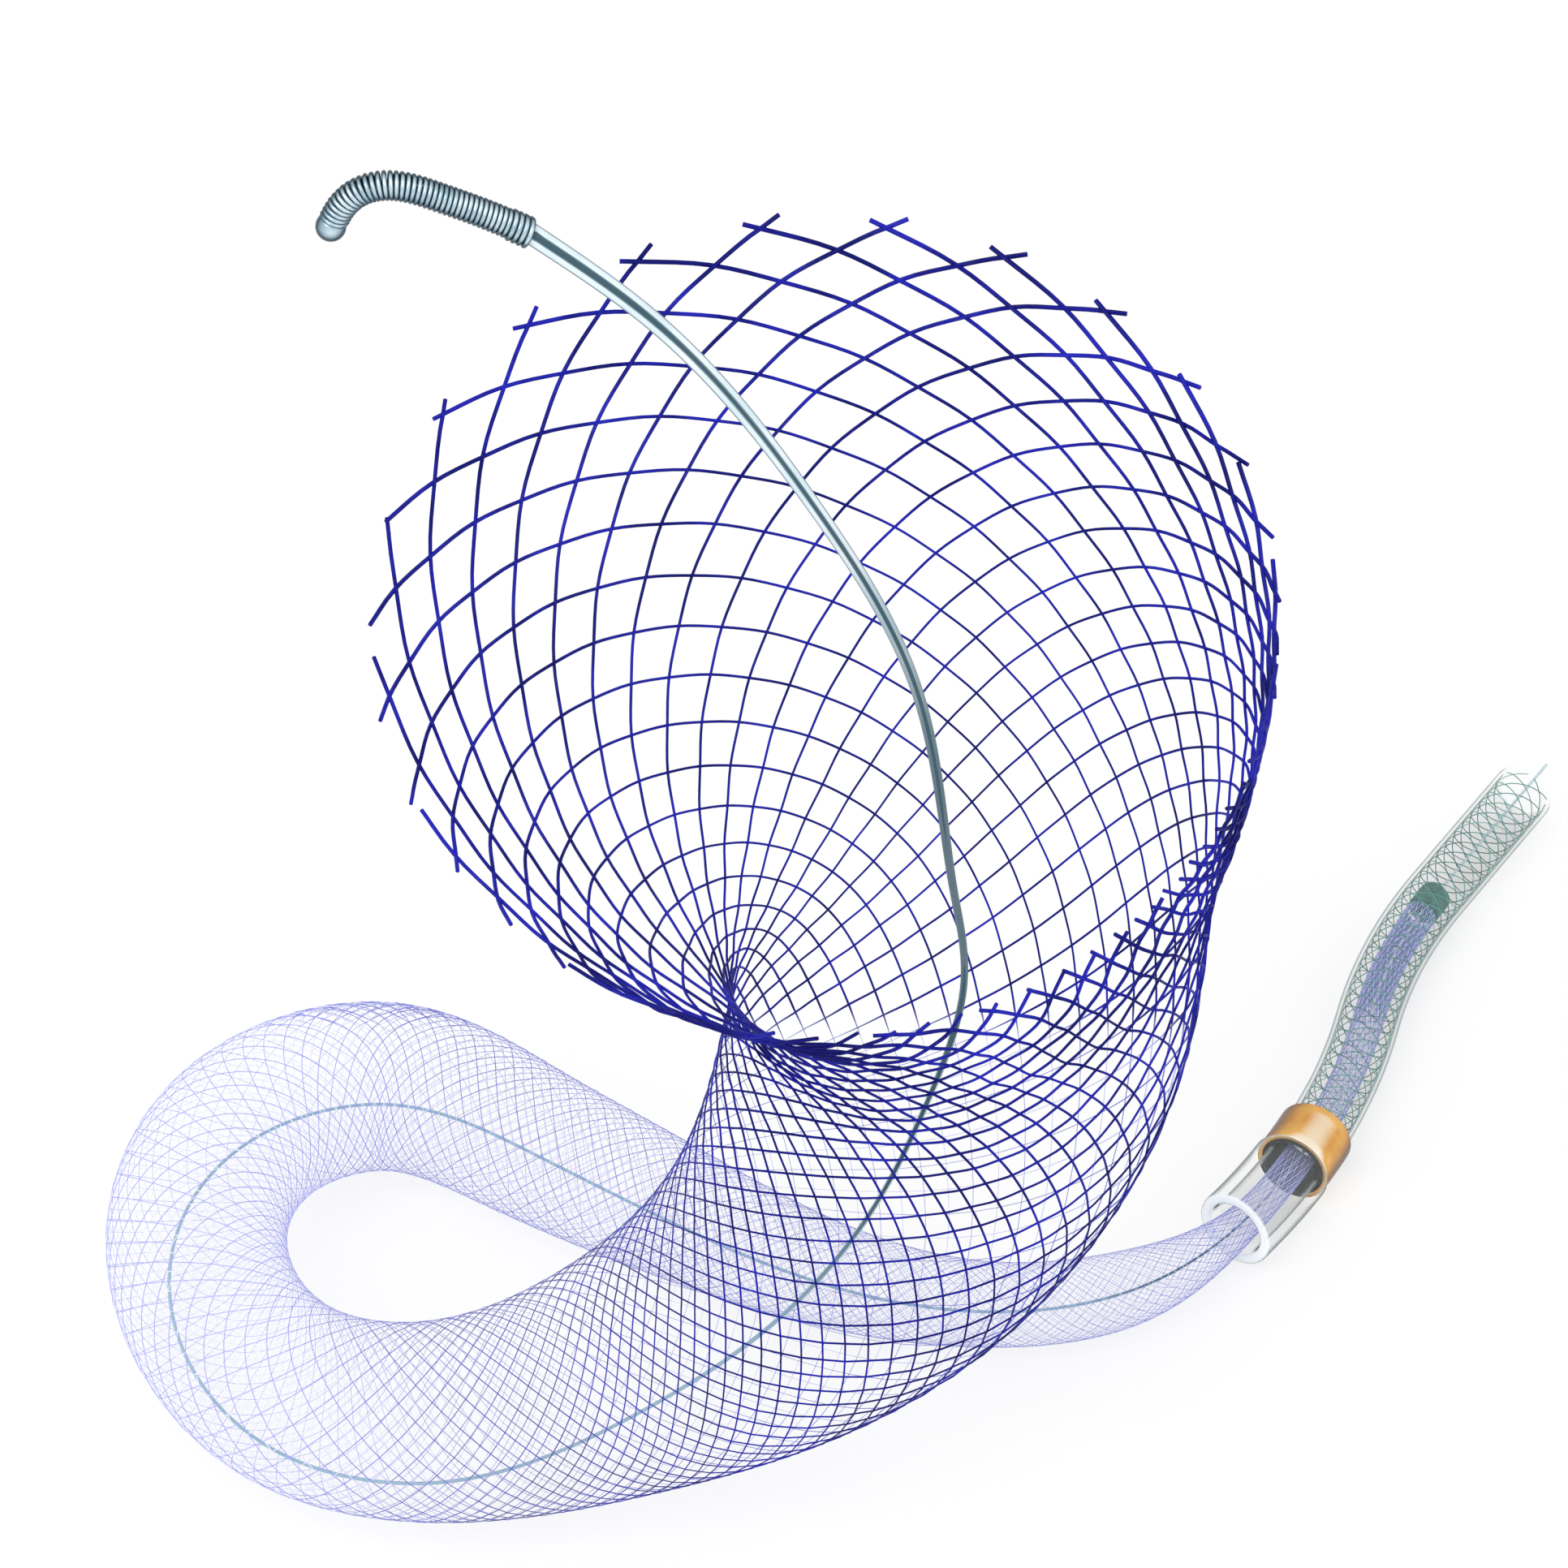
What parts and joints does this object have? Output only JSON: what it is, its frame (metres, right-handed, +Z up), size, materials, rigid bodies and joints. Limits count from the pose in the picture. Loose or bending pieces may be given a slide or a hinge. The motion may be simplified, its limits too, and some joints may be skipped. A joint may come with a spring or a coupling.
{
  "type": "flow diverter",
  "caption": "Braided tube with a flared open mouth, curled in one loop, half drawn out of a clear catheter tip, with a hooked coil-tipped delivery wire through it.",
  "frame": {"origin": "middle of the footprint's bounding rectangle, on the floor that the loop and the catheter lie on", "axes": "+Z up; +Y away from the side that the mouth leans to; +X to the right, towards the catheter"},
  "size_m": [0.0108, 0.0084, 0.0103],
  "materials": {
    "braid_wire": "fine nickel-titanium wire with a deep blue heat tint",
    "polished_wire": "polished pale steel",
    "pad_polymer": "dark green polymer",
    "platinum": "bright wound platinum",
    "clear_polymer": "clear flexible polymer",
    "gold_band": "polished gold-coloured alloy",
    "green_wire": "fine dark green braid in the tube wall",
    "liner_polymer": "thin translucent slippery polymer"
  },
  "bodies": {
    "root": {"braid": "braid_wire", "delivery_wire": "polished_wire", "resheathing_pad": "pad_polymer", "coil_collar": "platinum", "tip_coil": "platinum", "tip_ball": "platinum", "catheter_soft_tip": "clear_polymer", "marker_band": "gold_band", "catheter_jacket": "clear_polymer", "reinforcement_braid": "green_wire", "catheter_liner": "liner_polymer"}
  },
  "joints": []
}
